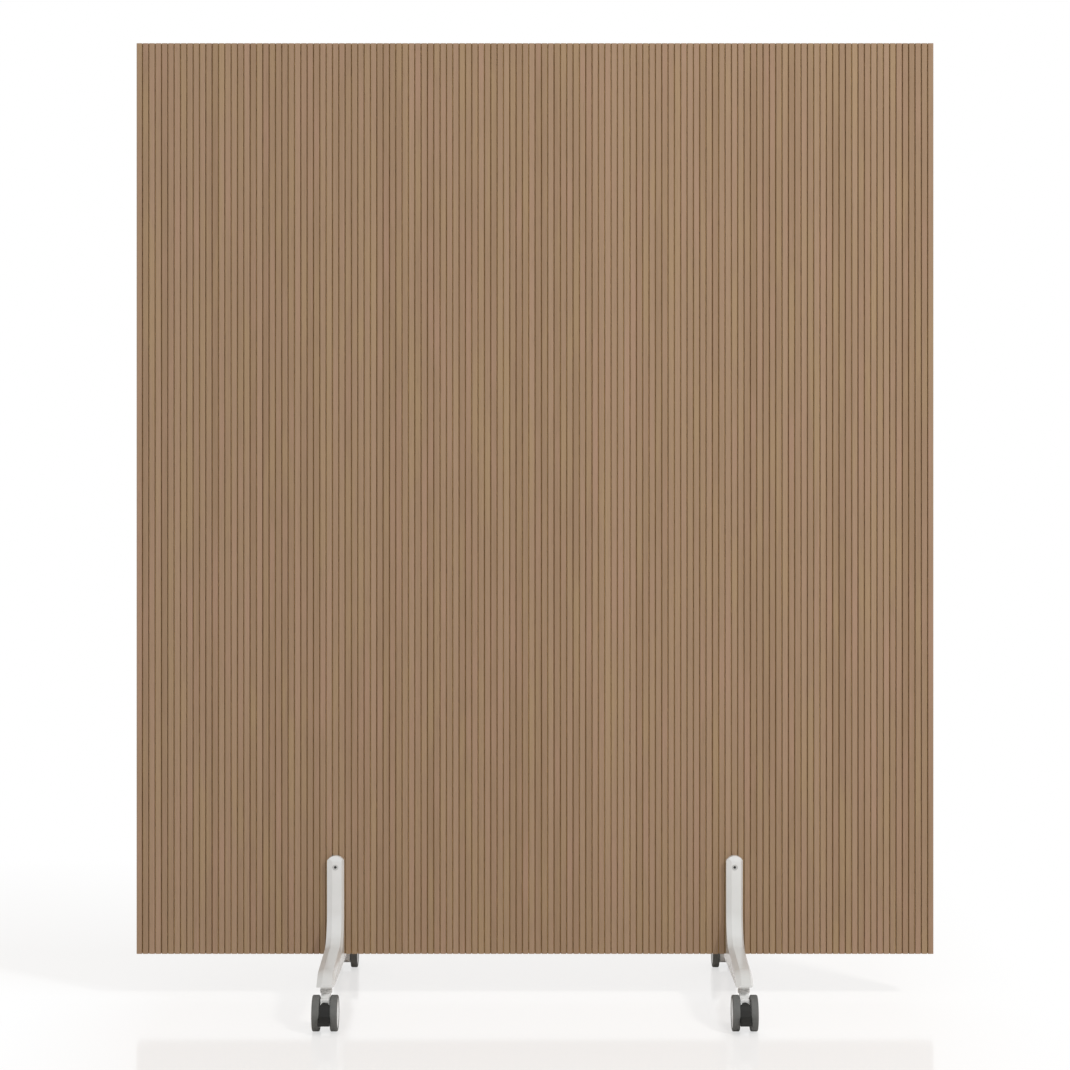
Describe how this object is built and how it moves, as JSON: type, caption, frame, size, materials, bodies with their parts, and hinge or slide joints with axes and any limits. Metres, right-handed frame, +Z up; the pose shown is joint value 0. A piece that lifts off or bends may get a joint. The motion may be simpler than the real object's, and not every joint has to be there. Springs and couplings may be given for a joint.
{
  "type": "room divider on wheels",
  "caption": "Free-standing slatted wooden room divider: a tall flat panel held at its base between pairs of curved metal legs on swivelling twin-wheel casters with brake pedals.",
  "frame": {"origin": "on the floor, under the middle of the panel", "axes": "+X along the panel's width, +Y from the front face to the rear face, +Z up"},
  "size_m": [1.524, 0.63, 1.8288],
  "materials": {
    "slat": "matt woodgrain, fine vertical grain",
    "core_board": "raw board",
    "backing": "dark stained hardboard",
    "edge_band": "matt woodgrain banding",
    "leg_metal": "satin light silver paint",
    "stem_steel": "zinc plated",
    "fastener_steel": "zinc plated",
    "insert_brass": "turned",
    "collar": "grey moulding",
    "hood": "satin silver moulding",
    "wheel_disc": "satin light grey moulding",
    "tyre": "matt grey tread",
    "pedal": "satin black moulding"
  },
  "bodies": {
    "stand": {"core_board": "core_board", "front_backing": "backing", "rear_backing": "backing", "front_slats": "slat", "rear_slats": "slat", "left_edge_band": "edge_band", "right_edge_band": "edge_band", "top_edge_band": "edge_band", "bottom_edge_band": "edge_band", "clamp_bolts": "fastener_steel", "clamp_sleeve_nuts": "fastener_steel", "toe_screws": "fastener_steel", "threaded_inserts": "insert_brass", "front_left_leg": "leg_metal", "front_left_stem": "stem_steel", "front_right_leg": "leg_metal", "front_right_stem": "stem_steel", "rear_left_leg": "leg_metal", "rear_left_stem": "stem_steel", "rear_right_leg": "leg_metal", "rear_right_stem": "stem_steel"},
    "front_left_swivel": {"front_left_collar": "collar", "front_left_hood": "hood", "front_left_axle": "stem_steel", "front_left_pedal_pin": "stem_steel"},
    "front_left_pedal_body": {"front_left_pedal": "pedal"},
    "front_left_left_wheel": {"front_left_left_hub": "wheel_disc", "front_left_left_tyre": "tyre"},
    "front_left_right_wheel": {"front_left_right_hub": "wheel_disc", "front_left_right_tyre": "tyre"},
    "front_right_swivel": {"front_right_collar": "collar", "front_right_hood": "hood", "front_right_axle": "stem_steel", "front_right_pedal_pin": "stem_steel"},
    "front_right_pedal_body": {"front_right_pedal": "pedal"},
    "front_right_left_wheel": {"front_right_left_hub": "wheel_disc", "front_right_left_tyre": "tyre"},
    "front_right_right_wheel": {"front_right_right_hub": "wheel_disc", "front_right_right_tyre": "tyre"},
    "rear_left_swivel": {"rear_left_collar": "collar", "rear_left_hood": "hood", "rear_left_axle": "stem_steel", "rear_left_pedal_pin": "stem_steel"},
    "rear_left_pedal_body": {"rear_left_pedal": "pedal"},
    "rear_left_left_wheel": {"rear_left_left_hub": "wheel_disc", "rear_left_left_tyre": "tyre"},
    "rear_left_right_wheel": {"rear_left_right_hub": "wheel_disc", "rear_left_right_tyre": "tyre"},
    "rear_right_swivel": {"rear_right_collar": "collar", "rear_right_hood": "hood", "rear_right_axle": "stem_steel", "rear_right_pedal_pin": "stem_steel"},
    "rear_right_pedal_body": {"rear_right_pedal": "pedal"},
    "rear_right_left_wheel": {"rear_right_left_hub": "wheel_disc", "rear_right_left_tyre": "tyre"},
    "rear_right_right_wheel": {"rear_right_right_hub": "wheel_disc", "rear_right_right_tyre": "tyre"}
  },
  "joints": [
    {"name": "front_left_swivel_turn", "type": "hinge", "parent": "stand", "child": "front_left_swivel", "pos_m": [-0.381, -0.248, 0.0725], "axis": [0, 0, 1], "continuous": true},
    {"name": "front_left_left_wheel_spin", "type": "hinge", "parent": "front_left_swivel", "child": "front_left_left_wheel", "pos_m": [-0.381, -0.268, 0.0325], "axis": [1, 0, 0], "continuous": true},
    {"name": "front_left_right_wheel_spin", "type": "hinge", "parent": "front_left_swivel", "child": "front_left_right_wheel", "pos_m": [-0.381, -0.268, 0.0325], "axis": [1, 0, 0], "continuous": true},
    {"name": "front_left_brake_pedal", "type": "hinge", "parent": "front_left_swivel", "child": "front_left_pedal_body", "pos_m": [-0.381, -0.28, 0.0465], "axis": [1, 0, 0], "range_deg": [0, 15]},
    {"name": "front_right_swivel_turn", "type": "hinge", "parent": "stand", "child": "front_right_swivel", "pos_m": [0.381, -0.248, 0.0725], "axis": [0, 0, 1], "continuous": true},
    {"name": "front_right_left_wheel_spin", "type": "hinge", "parent": "front_right_swivel", "child": "front_right_left_wheel", "pos_m": [0.381, -0.268, 0.0325], "axis": [1, 0, 0], "continuous": true},
    {"name": "front_right_right_wheel_spin", "type": "hinge", "parent": "front_right_swivel", "child": "front_right_right_wheel", "pos_m": [0.381, -0.268, 0.0325], "axis": [1, 0, 0], "continuous": true},
    {"name": "front_right_brake_pedal", "type": "hinge", "parent": "front_right_swivel", "child": "front_right_pedal_body", "pos_m": [0.381, -0.28, 0.0465], "axis": [1, 0, 0], "range_deg": [0, 15]},
    {"name": "rear_left_swivel_turn", "type": "hinge", "parent": "stand", "child": "rear_left_swivel", "pos_m": [-0.381, 0.248, 0.0725], "axis": [0, 0, 1], "continuous": true},
    {"name": "rear_left_left_wheel_spin", "type": "hinge", "parent": "rear_left_swivel", "child": "rear_left_left_wheel", "pos_m": [-0.381, 0.268, 0.0325], "axis": [1, 0, 0], "continuous": true},
    {"name": "rear_left_right_wheel_spin", "type": "hinge", "parent": "rear_left_swivel", "child": "rear_left_right_wheel", "pos_m": [-0.381, 0.268, 0.0325], "axis": [1, 0, 0], "continuous": true},
    {"name": "rear_left_brake_pedal", "type": "hinge", "parent": "rear_left_swivel", "child": "rear_left_pedal_body", "pos_m": [-0.381, 0.28, 0.0465], "axis": [-1, 0, 0], "range_deg": [0, 15]},
    {"name": "rear_right_swivel_turn", "type": "hinge", "parent": "stand", "child": "rear_right_swivel", "pos_m": [0.381, 0.248, 0.0725], "axis": [0, 0, 1], "continuous": true},
    {"name": "rear_right_left_wheel_spin", "type": "hinge", "parent": "rear_right_swivel", "child": "rear_right_left_wheel", "pos_m": [0.381, 0.268, 0.0325], "axis": [1, 0, 0], "continuous": true},
    {"name": "rear_right_right_wheel_spin", "type": "hinge", "parent": "rear_right_swivel", "child": "rear_right_right_wheel", "pos_m": [0.381, 0.268, 0.0325], "axis": [1, 0, 0], "continuous": true},
    {"name": "rear_right_brake_pedal", "type": "hinge", "parent": "rear_right_swivel", "child": "rear_right_pedal_body", "pos_m": [0.381, 0.28, 0.0465], "axis": [-1, 0, 0], "range_deg": [0, 15]}
  ]
}
